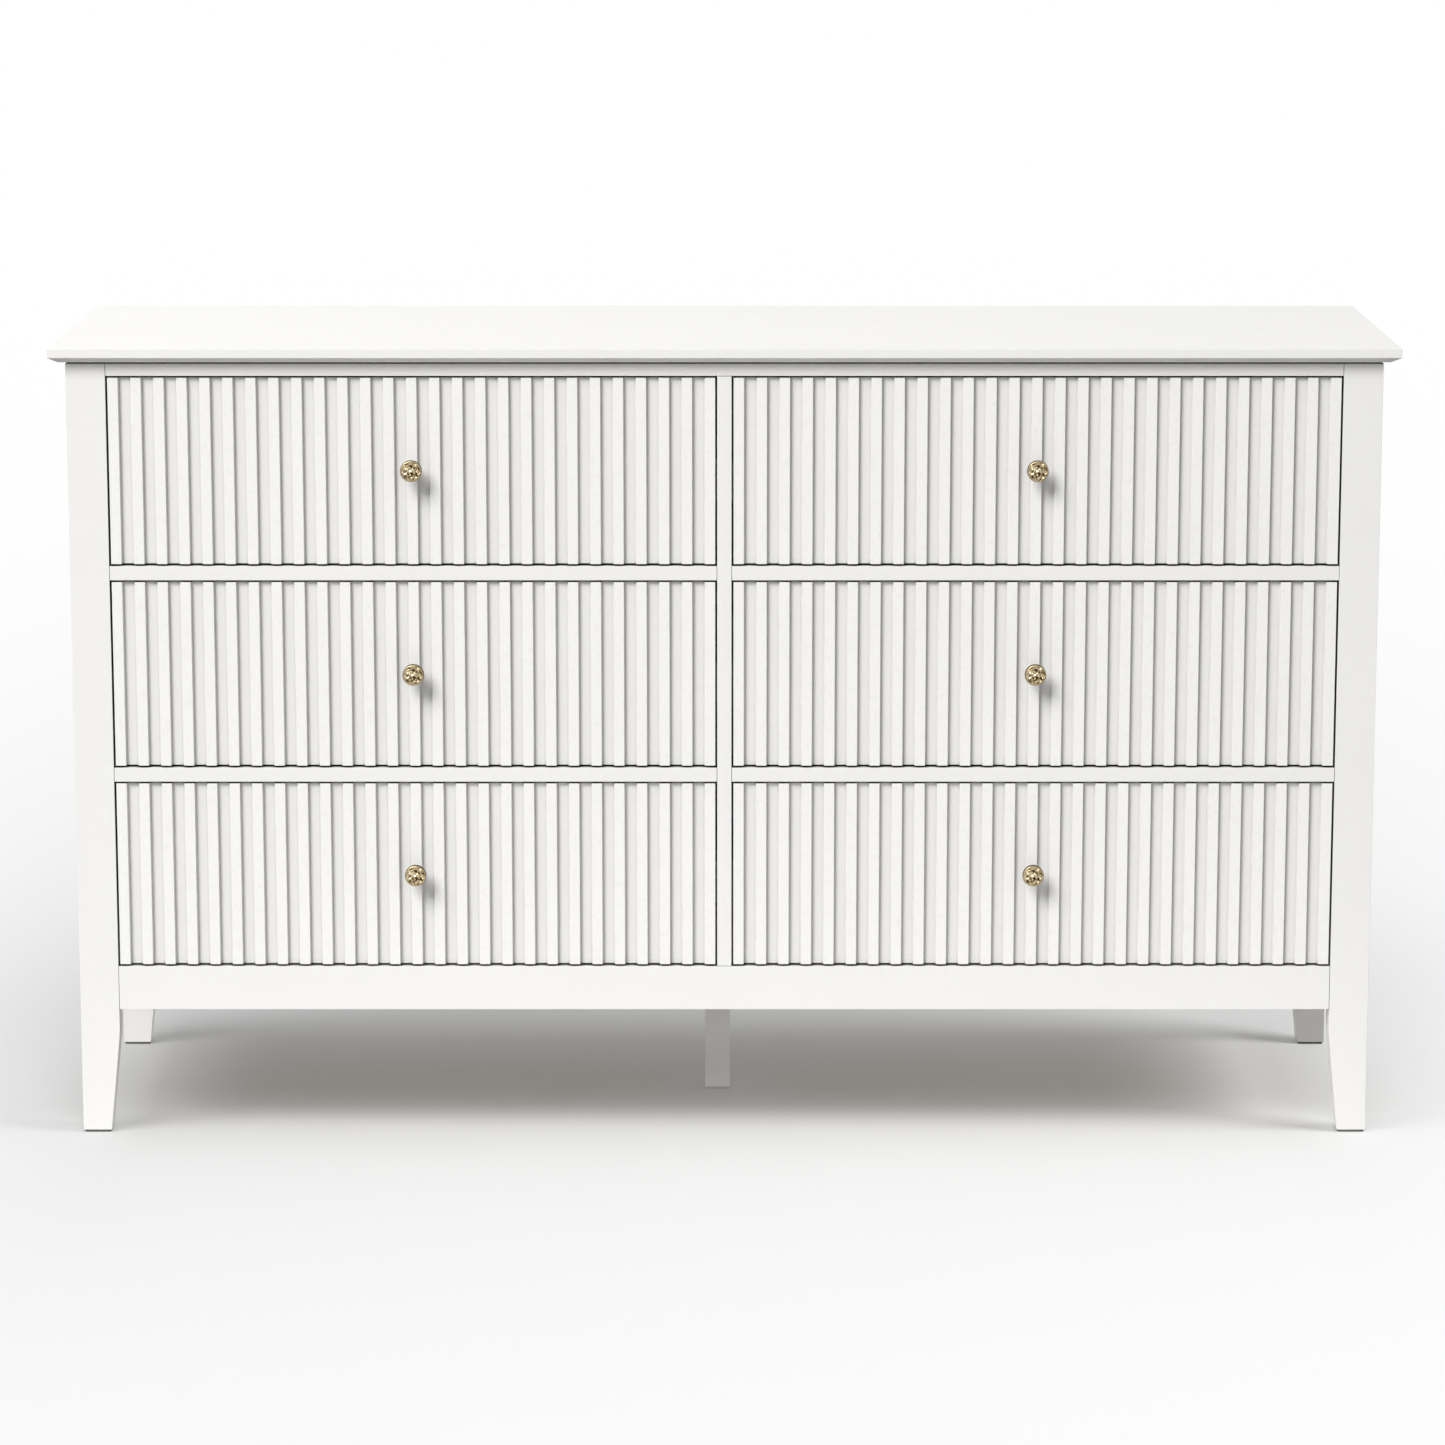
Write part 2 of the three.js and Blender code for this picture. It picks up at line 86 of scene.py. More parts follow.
# Floor: in every FLOOR_FADE metres away from the dresser, all but 1/e of it turns to white. Past the
# ends of the dresser, that starts SIDE_INSET further in and goes SIDE_FADE times as fast. Rays that
# aren't the camera's see the white at a strength of FLOOR_BOUNCE.
FLOOR_RADIUS = 14
FLOOR_COLOUR = 0.5
FLOOR_GLOW = 0.1
FLOOR_FADE = 1.15
SIDE_FADE = 3.2
SIDE_INSET = 0.08
FLOOR_BOUNCE = 0.2

# Paint: how far its brightness wanders, how dark its specks are, and the colour of the painted shade
# that darkens it deep in gaps narrower than about GAP_REACH
PAINT_MOTTLE = 0.012
PAINT_SPECK = 0.96
GAP_REACH = 8 * MM
GAP_SHADE_COLOUR = (0.04, 0.038, 0.035)

# How far the arrises of the CAD shapes are eased
BOARD_EDGE = 0.35 * MM
TOP_EDGE = 0.6 * MM
THIN_EDGE = 0.3 * MM

# Drawer fronts
RIBS = 27
RIB_WIDTH = 11.2 * MM
RIB_SLANT = 0.6 * MM
FLUTE_DEPTH = 5 * MM
RIB_ROUND = 0.35 * MM
FLUTE_ROUND = 0.6 * MM
FRONT_EDGE = 0.3 * MM

# Drawer boxes
BOX_BOARD = 12 * MM
BOX_EDGE = 2.2 * MM
GROOVE_DEPTH = 6.25 * MM
GROOVE_SPARE = 0.25 * MM

# Slides
SLIDE_GAUGE = 1.2 * MM
SLIDE_LIP = 5 * MM
SLIDE_EDGE = 0.2 * MM
RUNNER_HEIGHT = 34 * MM
RUNNER_DEPTH = 8 * MM
RUNNER_LIP = 3 * MM
RUNNER_SHORTFALL = 4 * MM
RELEASE_SETBACK = 52 * MM

# Fasteners
HEAD_SPOKES = 32
SLIDE_SCREW = (3.6 * MM, 2 * MM)
KNOB_SCREW = (4 * MM, 2.2 * MM)
WASHER_THICKNESS = 0.8 * MM
CAM_LOCK = (7.4 * MM, 0.7 * MM)
CAM_SETBACK = 24 * MM
NAILS_ACROSS = 11
NAILS_UP = 5

# Knobs: a patina of 0 is bright brass and 1 is brown. LUMP_SEED sets the lumps' warp and tilt, which
# would differ each run without it.
KNOB_SPOKES = 120
KNOB_FACE_RINGS = 34
LUMP = 2.9 * MM
LUMP_DEPTH = 1.1 * MM
LUMP_SEED = 3
FACE_DOME = 0.25
RIM_BLEND = 0.14
# The stem and the rolled rim get a dark patina that is partly painted shade, for where they turn from
# the light
STEM_PATINA_AND_SHADE = 0.9
ROLL_PATINA_AND_SHADE = 0.42
ROLL_RINGS = 3


# ---------------------------------------------------------------------------
# Camera and studio
# ---------------------------------------------------------------------------


def add_camera():
    """A long lens in front of the dresser, a little above its top and looking slightly down."""
    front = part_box("front_left_leg")[0].y
    camera = bpy.data.objects.new("camera", bpy.data.cameras.new("camera"))
    bpy.context.scene.collection.objects.link(camera)
    camera.location = (CAMERA_X, front - CAMERA_DISTANCE, CAMERA_HEIGHT)
    camera.rotation_euler = (math.radians(90 - CAMERA_DIP), 0, 0)
    camera.data.lens = CAMERA_LENS
    camera.data.sensor_width = 36
    camera.data.shift_x, camera.data.shift_y = CAMERA_SHIFT
    camera.data.clip_end = 100
    bpy.context.scene.camera = camera


def add_light(name, place, aim, size, power):
    """A round soft light at place, turned to aim."""
    lamp = bpy.data.lights.new(name, "AREA")
    lamp.shape = "DISK"
    lamp.size = size
    lamp.energy = power
    light = bpy.data.objects.new(name, lamp)
    bpy.context.scene.collection.objects.link(light)
    light.location = place
    light.rotation_euler = (Vector(aim) - Vector(place)).to_track_quat("-Z", "Y").to_euler()
    return light


def light_only(light, state, floor):
    """Has the light fall on the floor alone (INCLUDE), or on all but the floor (EXCLUDE)."""
    receivers = bpy.data.collections.new(f"{light.name}_receivers")
    receivers.objects.link(floor)
    receivers.collection_objects[0].light_linking.link_state = state
    light.light_linking.receiver_collection = receivers


def light_dome():
    """A white studio all round, dimmer as light than as what the camera and the brass see."""
    world = bpy.data.worlds.new("studio")
    bpy.context.scene.world = world
    world.use_nodes = True
    nodes, links = world.node_tree.nodes, world.node_tree.links
    dome = nodes["Background"]
    dome.inputs["Color"].default_value = (1, 1, 1, 1)
    direction = nodes.new("ShaderNodeSeparateXYZ")
    links.new(nodes.new("ShaderNodeTexCoord").outputs["Generated"], direction.inputs["Vector"])
    climb = nodes.new("ShaderNodeMapRange")
    climb.inputs["From Max"].default_value = DOME_CLIMB
    climb.inputs["To Min"].default_value = DOME_LIGHT[0]
    climb.inputs["To Max"].default_value = DOME_LIGHT[1]
    links.new(direction.outputs["Z"], climb.inputs["Value"])
    ray = nodes.new("ShaderNodeLightPath")
    seen = nodes.new("ShaderNodeMath")
    seen.operation = "MULTIPLY_ADD"
    seen.inputs[1].default_value = DOME_GLOSS
    links.new(ray.outputs["Is Glossy Ray"], seen.inputs[0])
    links.new(ray.outputs["Is Camera Ray"], seen.inputs[2])
    level = nodes.new("ShaderNodeMix")
    level.inputs["B"].default_value = 1.0
    links.new(seen.outputs["Value"], level.inputs["Factor"])
    links.new(climb.outputs["Result"], level.inputs["A"])
    links.new(level.outputs["Result"], dome.inputs["Strength"])


def light_studio(floor):
    """The dome, soft lights for everything but the floor, and washes for the floor alone."""
    light_dome()
    dresser_middle, floor_middle, wash_size = (0, 0, 0.45), (0, -0.1, 0), 2.2
    for name, place, size, power in (
        ("key", (-5.2, -8.0, 8.4), 6.0, 1580),
        ("fill", (-2.6, -3.6, 1.2), 1.8, 5),
        ("top_light", (-2.2, 1.0, 3.4), 2.0, 20),
        ("back_light", (5.5, 3.0, 1.1), 2.5, 120),
    ):
        light_only(add_light(name, place, dresser_middle, size, power), "EXCLUDE", floor)
    for name, place, power in (
        ("front_wash", (0, -3.4, 3.8), 68),
        ("front_left_wash", (-2.5, -2.6, 4.6), 78),
        ("left_wash", (-4.2, -1.8, 4.2), 84),
        ("right_wash", (3.8, -1.0, 2.8), 178),
    ):
        light_only(add_light(name, place, floor_middle, wash_size, power), "INCLUDE", floor)
    bpy.context.scene.view_settings.view_transform = "Standard"
    bpy.context.scene.view_settings.look = "None"


def add_floor():
    """A pale floor that fades to the studio's white away from the dresser."""
    bm = bmesh.new()
    bmesh.ops.create_circle(bm, cap_ends=True, segments=96, radius=FLOOR_RADIUS)
    floor = make_object("floor", bm)
    graph = Graph("studio_floor")
    graph.shader.inputs["Base Color"].default_value = (*(FLOOR_COLOUR,) * 3, 1)
    graph.shader.inputs["Roughness"].default_value = 0.8
    graph.shader.inputs["Specular IOR Level"].default_value = 0.2
    graph.shader.inputs["Emission Color"].default_value = (1, 1, 1, 1)
    graph.shader.inputs["Emission Strength"].default_value = FLOOR_GLOW
    white = graph.node("ShaderNodeEmission")
    ray = graph.node("ShaderNodeLightPath").outputs["Is Camera Ray"]
    graph.link(graph.span(ray, 0, 1, FLOOR_BOUNCE, 1), white.inputs["Strength"])
    low, high = CAD_BOX
    inset = Vector((SIDE_INSET, 0, 0))
    away = graph.distance_from(low + inset, high - inset, (SIDE_FADE, 1, 1))
    mix = graph.node("ShaderNodeMixShader")
    graph.link(graph.math("POWER", math.exp(-1 / FLOOR_FADE), away), mix.inputs["Fac"])
    graph.link(white.outputs["Emission"], mix.inputs[1])
    graph.link(graph.shader.outputs["BSDF"], mix.inputs[2])
    graph.link(mix.outputs["Shader"], graph.nodes["Material Output"].inputs["Surface"])
    floor.data.materials.append(graph.material)
    return floor


# ---------------------------------------------------------------------------
# Node graphs
# ---------------------------------------------------------------------------


class Graph:
    """A material under construction, with the object's own coordinates at hand."""

    def __init__(self, name):
        self.material = bpy.data.materials.new(name)
        self.material.use_nodes = True
        self.nodes = self.material.node_tree.nodes
        self.shader = self.nodes["Principled BSDF"]
        self.place = self.node("ShaderNodeTexCoord").outputs["Object"]

    def node(self, kind, **settings):
        node = self.nodes.new(kind)
        for key, value in settings.items():
            setattr(node, key, value)
        return node

    def link(self, output, target):
        self.material.node_tree.links.new(output, target)

    def stretched(self, scale):
        """The coordinates multiplied by scale on each axis, in cycles a metre."""
        mapping = self.node("ShaderNodeMapping")
        self.link(self.place, mapping.inputs["Vector"])
        mapping.inputs["Scale"].default_value = scale
        return mapping.outputs["Vector"]

    def noise(self, scale, detail=3.0, roughness=0.5, distortion=0.0):
        """A noise in the object's coordinates. scale is in cycles a metre, for all axes or for each."""
        if not hasattr(scale, "__len__"):
            scale = (scale, scale, scale)
        texture = self.node("ShaderNodeTexNoise")
        self.link(self.stretched(scale), texture.inputs["Vector"])
        texture.inputs["Scale"].default_value = 1.0
        texture.inputs["Detail"].default_value = detail
        texture.inputs["Roughness"].default_value = roughness
        texture.inputs["Distortion"].default_value = distortion
        return texture.outputs["Fac"]

    def attribute(self, name):
        return self.node("ShaderNodeAttribute", attribute_name=name).outputs["Fac"]

    def span(self, value, low, high, to_low=0.0, to_high=1.0):
        """value taken from low..high to to_low..to_high, and held at the ends."""
        node = self.node("ShaderNodeMapRange")
        self.link(value, node.inputs["Value"])
        node.inputs["From Min"].default_value = low
        node.inputs["From Max"].default_value = high
        node.inputs["To Min"].default_value = to_low
        node.inputs["To Max"].default_value = to_high
        return node.outputs["Result"]

    def spread(self, value, low=0.0, high=1.0):
        """A noise's usual range, 0.3 to 0.7, taken to low..high."""
        return self.span(value, 0.3, 0.7, low, high)

    def math(self, operation, a, b):
        """One sum on two values, each a number or a socket."""
        node = self.node("ShaderNodeMath", operation=operation)
        for value, socket in zip((a, b), node.inputs):
            if isinstance(value, (int, float)):
                socket.default_value = value
            else:
                self.link(value, socket)
        return node.outputs["Value"]

    def vector(self, operation, a, b=None):
        """One sum on vectors, each a tuple or a socket."""
        node = self.node("ShaderNodeVectorMath", operation=operation)
        for value, socket in zip((a, b), node.inputs):
            if isinstance(value, bpy.types.NodeSocket):
                self.link(value, socket)
            elif value is not None:
                socket.default_value = value
        return node.outputs["Value" if operation == "LENGTH" else "Vector"]

    def distance_from(self, low, high, scale):
        """How far a point of the floor is from the box that stands on it, with each axis scaled."""
        middle = ((low.x + high.x) / 2, (low.y + high.y) / 2, 0)
        half = ((high.x - low.x) / 2, (high.y - low.y) / 2, 1)
        offset = self.vector("ABSOLUTE", self.vector("SUBTRACT", self.place, middle))
        outside = self.vector("MAXIMUM", self.vector("SUBTRACT", offset, half), (0, 0, 0))
        return self.vector("LENGTH", self.vector("MULTIPLY", outside, scale))

    def openness(self, reach):
        """1 on an open face, falling to 0 deep in a gap or a seam narrower than reach."""
        node = self.node("ShaderNodeAmbientOcclusion", samples=4)
        node.inputs["Distance"].default_value = reach
        return node.outputs["AO"]

    def blend(self, factor, low, high):
        """A colour between low and high; each is a colour or another blend."""
        node = self.node("ShaderNodeMix", data_type="RGBA")
        self.link(factor, node.inputs["Factor"])
        for value, socket in zip((low, high), (node.inputs[6], node.inputs[7])):
            if isinstance(value, bpy.types.NodeSocket):
                self.link(value, socket)
            else:
                socket.default_value = (*value, 1)
        return node.outputs[2]

    def bump(self, height, distance):
        """Adds a relief of that depth to those the material has already."""
        node = self.node("ShaderNodeBump")
        node.inputs["Distance"].default_value = distance
        self.link(height, node.inputs["Height"])
        normal = self.shader.inputs["Normal"]
        if normal.is_linked:
            self.link(normal.links[0].from_socket, node.inputs["Normal"])
        self.link(node.outputs["Normal"], normal)

    def colour(self, socket):
        self.link(socket, self.shader.inputs["Base Color"])

    def roughness(self, value, low, high):
        """Has a noise take the roughness from low to high."""
        self.link(self.spread(value, low, high), self.shader.inputs["Roughness"])


# ---------------------------------------------------------------------------
# Materials
# ---------------------------------------------------------------------------


def warm_white(level):
    """The paint's hue at a brightness."""
    return (level, level * 0.99, level * 0.966)


def painted_wood(name, face, flute, dark, clear):
    """Sprayed satin paint, faintly mottled, with a fine orange peel.

    face and flute are its brightness on outer faces and down in a flute, where a lower flute paints
    shade into the flutes. It is painted dark as shade in gaps up to an openness of dark, and has its
    own colour from an openness of clear.
    """
    graph = Graph(name)
    sprayed = graph.spread(graph.noise(7, detail=4))
    speck = graph.noise(160, detail=3, roughness=0.6)
    proud = graph.blend(sprayed, warm_white(face), warm_white(face + PAINT_MOTTLE))
    flute_shade = graph.blend(sprayed, warm_white(flute), warm_white(flute + PAINT_MOTTLE))
    # Painted shade: the recess attribute takes the paint from the face's brightness to the darker flute
    # brightness
    tint = graph.blend(graph.attribute("recess"), proud, flute_shade)
    specked = graph.span(speck, 0.5, 0.8, 0.0, 0.35)
    paint = graph.blend(specked, tint, warm_white(flute * PAINT_SPECK))
    # Painted shade: ambient occlusion blends the paint to the near-black gap colour deep in gaps and
    # seams
    out_of_gap_shade = graph.span(graph.openness(GAP_REACH), dark, clear)
    graph.colour(graph.blend(out_of_gap_shade, GAP_SHADE_COLOUR, paint))
    graph.roughness(graph.noise(38, detail=4), 0.36, 0.5)
    graph.bump(graph.noise(750, detail=2), 0.02 * MM)
    graph.bump(graph.noise(28, detail=2), 0.02 * MM)
    graph.shader.inputs["Specular IOR Level"].default_value = 0.25
    return graph.material


def pale_wood(name, along, light, dark):
    """Lacquered pale wood, with its grain along one axis: 0 is X, 1 is Y."""
    graph = Graph(name)

    def stretch(across, run):
        scale = [across, across, across]
        scale[along] = run
        return scale

    bands = graph.noise(stretch(34, 1.3), detail=3, distortion=0.6)
    lines = graph.noise(stretch(240, 5), detail=4, roughness=0.6)
    pores = graph.noise(stretch(1300, 45), detail=2)
    body = graph.blend(graph.span(bands, 0.32, 0.68), light, dark)
    grain = graph.blend(graph.span(lines, 0.5, 0.72, 0.0, 0.55), body, [c * 0.72 for c in dark])
    graph.colour(graph.blend(graph.span(pores, 0.6, 0.75, 0.0, 0.5), grain, [c * 0.5 for c in dark]))
    graph.roughness(lines, 0.42, 0.6)
    graph.bump(pores, 0.03 * MM)
    graph.bump(lines, 0.06 * MM)
    return graph.material


def hardboard():
    """Painted hardboard: matt off-white, with a fibrous face."""
    graph = Graph("hardboard")
    fibres = graph.noise((90, 90, 260), detail=5, roughness=0.65, distortion=1.5)
    cloud = graph.noise(5, detail=3)
    tint = graph.blend(graph.spread(cloud), (0.78, 0.768, 0.735), (0.83, 0.82, 0.79))
    graph.colour(graph.blend(graph.span(fibres, 0.5, 0.75, 0.0, 0.45), tint, (0.70, 0.68, 0.64)))
    graph.roughness(fibres, 0.68, 0.86)
    graph.bump(fibres, 0.12 * MM)
    return graph.material


def zinc_steel():
    """Zinc-plated pressed steel with a drawn finish along Y."""
    graph = Graph("zinc_steel")
    drawn = graph.noise((900, 6, 900), detail=3)
    bloom = graph.noise(45, detail=4, roughness=0.6)
    graph.colour(graph.blend(graph.span(bloom, 0.35, 0.7), (0.58, 0.60, 0.62), (0.70, 0.70, 0.69)))
    graph.roughness(drawn, 0.26, 0.44)
    graph.bump(drawn, 0.015 * MM)
    graph.shader.inputs["Metallic"].default_value = 1.0
    return graph.material


def hammered_brass():
    """Antiqued brass: bright where the hammered face stands proud, brown in its hollows."""
    graph = Graph("hammered_brass")
    speck = graph.noise(1500, detail=3, roughness=0.6)
    stain = graph.math("ADD", graph.attribute("patina"), graph.spread(speck, -0.15, 0.15))
    metal = graph.blend(graph.noise(300, detail=2), (0.88, 0.74, 0.455), (1.0, 0.885, 0.625))
    worn = graph.blend(graph.span(stain, 0.1, 0.55), metal, (0.56, 0.41, 0.21))
    graph.colour(graph.blend(graph.span(stain, 0.5, 0.85), worn, (0.055, 0.034, 0.014)))
    graph.link(graph.span(stain, 0.2, 0.9, 0.24, 0.5), graph.shader.inputs["Roughness"])
    graph.bump(graph.noise(1100, detail=3), 0.05 * MM)
    graph.shader.inputs["Metallic"].default_value = 1.0
    return graph.material


def nylon(name, colour):
    """Moulded nylon with a fine spark-eroded texture."""
    graph = Graph(name)
    grain = graph.noise(1400, detail=2)
    cloud = graph.noise(60, detail=3)
    graph.colour(graph.blend(graph.spread(cloud), colour, [c * 1.35 for c in colour]))
    graph.roughness(grain, 0.5, 0.72)
    graph.bump(grain, 0.04 * MM)
    return graph.material


def make_materials():
    birch_light, birch_dark = (0.72, 0.57, 0.39), (0.61, 0.45, 0.28)
    ply_light, ply_dark = (0.76, 0.67, 0.52), (0.68, 0.57, 0.42)
    return {
        "white_paint": painted_wood("white_paint", 0.757, 0.757, 0.32, 0.68),
        # The fronts' paint is a lighter copy on the ribs, a painted highlight, and darker in the
        # flutes, painted shade
        "fluted_paint": painted_wood("fluted_paint", 0.79, 0.69, 0.2, 0.55),
        "birch_x": pale_wood("birch_x", 0, birch_light, birch_dark),
        "birch_y": pale_wood("birch_y", 1, birch_light, birch_dark),
        "plywood": pale_wood("plywood", 0, ply_light, ply_dark),
        "hardboard": hardboard(),
        "steel": zinc_steel(),
        "brass": hammered_brass(),
        "nylon": nylon("nylon", (0.10, 0.095, 0.085)),
    }


# ---------------------------------------------------------------------------
# Mesh helpers
# ---------------------------------------------------------------------------


def make_object(name, bm):
    """A smooth-shaded object with the bmesh's faces, facing out."""
    bmesh.ops.recalc_face_normals(bm, faces=bm.faces)
    mesh = bpy.data.meshes.new(name)
    bm.to_mesh(mesh)
    bm.free()
    for face in mesh.polygons:
        face.use_smooth = True
    piece = bpy.data.objects.new(name, mesh)
    bpy.context.scene.collection.objects.link(piece)
    return piece


def even_shading(piece):
    """Broad faces shade flat, and the rounded edges between them shade smooth."""
    normals = piece.modifiers.new("even_shading", "WEIGHTED_NORMAL")
    normals.weight = 100
    normals.keep_sharp = False


def ease_edges(piece, width):
    """Rounds the edges that turn by more than 40 degrees."""
    bevel = piece.modifiers.new("eased_edges", "BEVEL")
    bevel.width = width
    bevel.segments = 3
    bevel.limit_method = "ANGLE"
    bevel.angle_limit = math.radians(40)
    bevel.use_clamp_overlap = False
    even_shading(piece)


def show_node(node, material, edge):
    """Shows a CAD node in its own shape, with eased edges and a finished material."""
    piece = frame["nodes"][node]
    piece.data.materials.clear()
    piece.data.materials.append(MATERIALS[material])
    for face in piece.data.polygons:
        face.use_smooth = True
    weld = piece.modifiers.new("weld", "WELD")
    weld.merge_threshold = 0.01 * MM
    ease_edges(piece, edge)


def add_piece(name, bm, material, body, replaced=()):
    """A finished piece that rides a body, and takes the place of the CAD nodes in replaced."""
    piece = make_object(name, bm)
    piece.data.materials.append(MATERIALS[material])
    even_shading(piece)
    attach(piece, body)
    if replaced:
        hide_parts(*replaced)


def rounded(corners, steps=4):
    """A closed outline from corners (u, v, radius), each corner turned into an arc of its radius."""
    outline = []
    for i, (u, v, radius) in enumerate(corners):
        here = Vector((u, v))
        back = Vector(corners[i - 1][:2]) - here
        ahead = Vector(corners[(i + 1) % len(corners)][:2]) - here
        half = back.angle(ahead) / 2
        inward = (back.normalized() + ahead.normalized()).normalized()
        centre = here + inward * (radius / math.sin(half))
        start = here + back.normalized() * (radius / math.tan(half)) - centre
        turn = (math.pi - 2 * half) * (-1 if back.cross(ahead) > 0 else 1)
        for step in range(steps + 1):
            spin = Matrix.Rotation(turn * step / steps, 2)
            outline.append(centre + spin @ start)
    return outline


def inset(outline, distance):
    """The outline moved in by distance. It runs anticlockwise if distance is to move it in."""
    moved = []
    count = len(outline)
    for i, here in enumerate(outline):
        into = (here - outline[i - 1]).normalized()
        away = (outline[(i + 1) % count] - here).normalized()
        normal = Vector((-into.y - away.y, into.x + away.x))
        moved.append(here + normal * (distance * 2 / max(normal.length_squared, 1.0)))
    return moved


def is_anticlockwise(outline):
    """Whether a closed outline has a positive area."""
    return sum(outline[i - 1].cross(outline[i]) for i in range(len(outline))) > 0


def run_outline(bm, outline, low, high, place, edge):
    """A closed solid: the outline run from low to high, with its end edges rounded by edge."""
    steps = 2
    if not is_anticlockwise(outline):
        outline = outline[::-1]
    ends = []
    for step in range(steps + 1):
        angle = math.pi / 2 * step / steps
        ends.append((edge * (1 - math.sin(angle)), edge * (1 - math.cos(angle))))
    levels = [(away, low + rise) for away, rise in ends]
    levels += [(away, high - rise) for away, rise in reversed(ends)]
    rings = []
    for away, height in levels:
        ring = inset(outline, away)
        rings.append([bm.verts.new(place(p.x, p.y, height)) for p in ring])
    join_rings(bm, rings)
    bm.faces.new(rings[0][::-1])
    bm.faces.new(rings[-1])


def join_rings(bm, rings):
    """Walls between each ring of vertices and the next."""
    for lower, upper in zip(rings, rings[1:]):
        for i in range(len(lower)):
            bm.faces.new((lower[i - 1], lower[i], upper[i], upper[i - 1]))


def fan(bm, ring, tip):
    """Closes a ring of vertices with triangles to one more."""
    for i in range(len(ring)):
        bm.faces.new((ring[i - 1], ring[i], tip))


def spots_round(radius, spokes):
    """Points (u, v) evenly round a circle."""
    angles = [2 * math.pi * i / spokes for i in range(spokes)]
    return [(radius * math.cos(angle), radius * math.sin(angle)) for angle in angles]


def turn_profile(bm, profile, place, spokes):
    """A closed solid of revolution from (radius, height) points, the first and last at radius 0."""
    rings = []
    for radius, height in profile[1:-1]:
        spots = spots_round(radius, spokes)
        rings.append([bm.verts.new(place(u, v, height)) for u, v in spots])
    join_rings(bm, rings)
    fan(bm, rings[0], bm.verts.new(place(0, 0, profile[0][1])))
    fan(bm, rings[-1], bm.verts.new(place(0, 0, profile[-1][1])))


def screw_head(bm, place, radius, rise):
    """A low domed head with a cross recess, standing on w = 0 and rising to w = rise."""
    shoulder, steps = 0.25, 5
    arm, reach, sink = radius * 0.16, radius * 0.7, rise * 0.5
    profile = [(radius, 0), (radius, rise * shoulder)]
    for step in range(1, steps):
        angle = math.pi / 2 * step / steps
        height = rise * (shoulder + (1 - shoulder) * math.sin(angle))
        profile.append((radius * math.cos(angle), height))
    rings = []
    for r, height in profile:
        ring = []
        for u, v in spots_round(r, HEAD_SPOKES):
            in_cross = min(abs(u), abs(v)) < arm and r < reach
            ring.append(bm.verts.new(place(u, v, height - sink if in_cross else height)))
        rings.append(ring)
    join_rings(bm, rings)
    bm.faces.new(rings[0][::-1])
    fan(bm, rings[-1], bm.verts.new(place(0, 0, rise * 0.45)))


# Ways to place a shape's own (u, v, w) in the frame


def along_wall(x, outward, z):
    """On a side wall at x: u is out from it, v is up from z, and w is Y."""
    return lambda u, v, w: Vector((x + outward * u, w, z + v))


def on_wall(x, outward, y, z):
    """On a side wall at x: w is out from it, u is along Y from y, and v is up from z."""
    return lambda u, v, w: Vector((x + outward * w, y + u, z + v))


def on_back(x, y, z):
    """On a face at y that looks backwards: w is out from it, and v is down from z."""
    return lambda u, v, w: Vector((x + u, y + w, z - v))


# ---------------------------------------------------------------------------
# Carcass
# ---------------------------------------------------------------------------


def show_carcass():
    """The painted boards, the back panel and the glides keep their CAD shapes."""
    slots = {part["node"]: part["material_slot"] for part in frame["record"]["subparts"]}
    for node in frame["record"]["behaviour"]["bodies"]["carcass"]:
        if node == "top_panel":
            show_node(node, "white_paint", TOP_EDGE)
        elif slots[node] == "white_paint":
            show_node(node, "white_paint", BOARD_EDGE)
        elif slots[node] in ("hardboard", "nylon"):
            show_node(node, slots[node], THIN_EDGE)


def add_back_nails():
    """Small nails that hold the back panel to its two rails and to the partition."""
    low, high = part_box("back_panel")
    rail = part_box("back_top_rail")[0].z
    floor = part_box("back_bottom_rail")[1].z
    heights = ((rail + high.z) / 2, (low.z + floor) / 2)
    spots = []
    for i in range(NAILS_ACROSS):
        x = low.x + (high.x - low.x) * (i + 0.5) / NAILS_ACROSS
        spots += [(x, z) for z in heights]
    spots += [(0, floor + (rail - floor) * (i + 0.5) / NAILS_UP) for i in range(NAILS_UP)]
    nail = [(0, -0.3), (2.6, -0.3), (2.6, 0.2), (1.6, 0.55), (0, 0.7)]
    profile = [(radius * MM, height * MM) for radius, height in nail]
    bm = bmesh.new()
    for x, z in spots:
        turn_profile(bm, profile, on_back(x, high.y, z), 16)
    add_piece("back_panel_nails", bm, "steel", "carcass")


# ---------------------------------------------------------------------------
# Slides
# ---------------------------------------------------------------------------


def channel_outline(height, depth, gauge, lip):
    """A formed channel: web at u = 0, open towards +u, with rounded bends and inturned lips."""
    bend, tip, half = gauge * 1.9, gauge * 0.4, height / 2
    upper = [
        (gauge, half - gauge, bend - gauge), (depth - gauge, half - gauge, bend - gauge),
        (depth - gauge, half - lip, tip), (depth, half - lip, tip),
        (depth, half, bend), (0, half, bend),
    ]
    lower = [(u, -v, radius) for u, v, radius in reversed(upper)]
    return rounded(lower + upper, 3)


def add_slide_screws(bm, x, outward, start, end, z, shares):
    """Screws in the web of a slide, whose outer face is at x, at shares of the way along it."""
    for share in shares:
        screw_head(bm, on_wall(x, outward, start + (end - start) * share, z), *SLIDE_SCREW)


def add_cabinet_slide(node, inward):
    """The cabinet half of a slide, on the wall of its opening. inward is the way to the drawer."""
    low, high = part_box(node)
    wall = low.x if inward > 0 else high.x
    web = wall + inward * SLIDE_GAUGE
    middle = (low.z + high.z) / 2
    bm = bmesh.new()
    outline = channel_outline(high.z - low.z, high.x - low.x, SLIDE_GAUGE, SLIDE_LIP)
    run_outline(bm, outline, low.y, high.y, along_wall(wall, inward, middle), SLIDE_EDGE)
    add_slide_screws(bm, web, inward, low.y, high.y, middle, (0.08, 0.42, 0.86))
    add_piece(f"{node}_member", bm, "steel", "carcass", (node,))


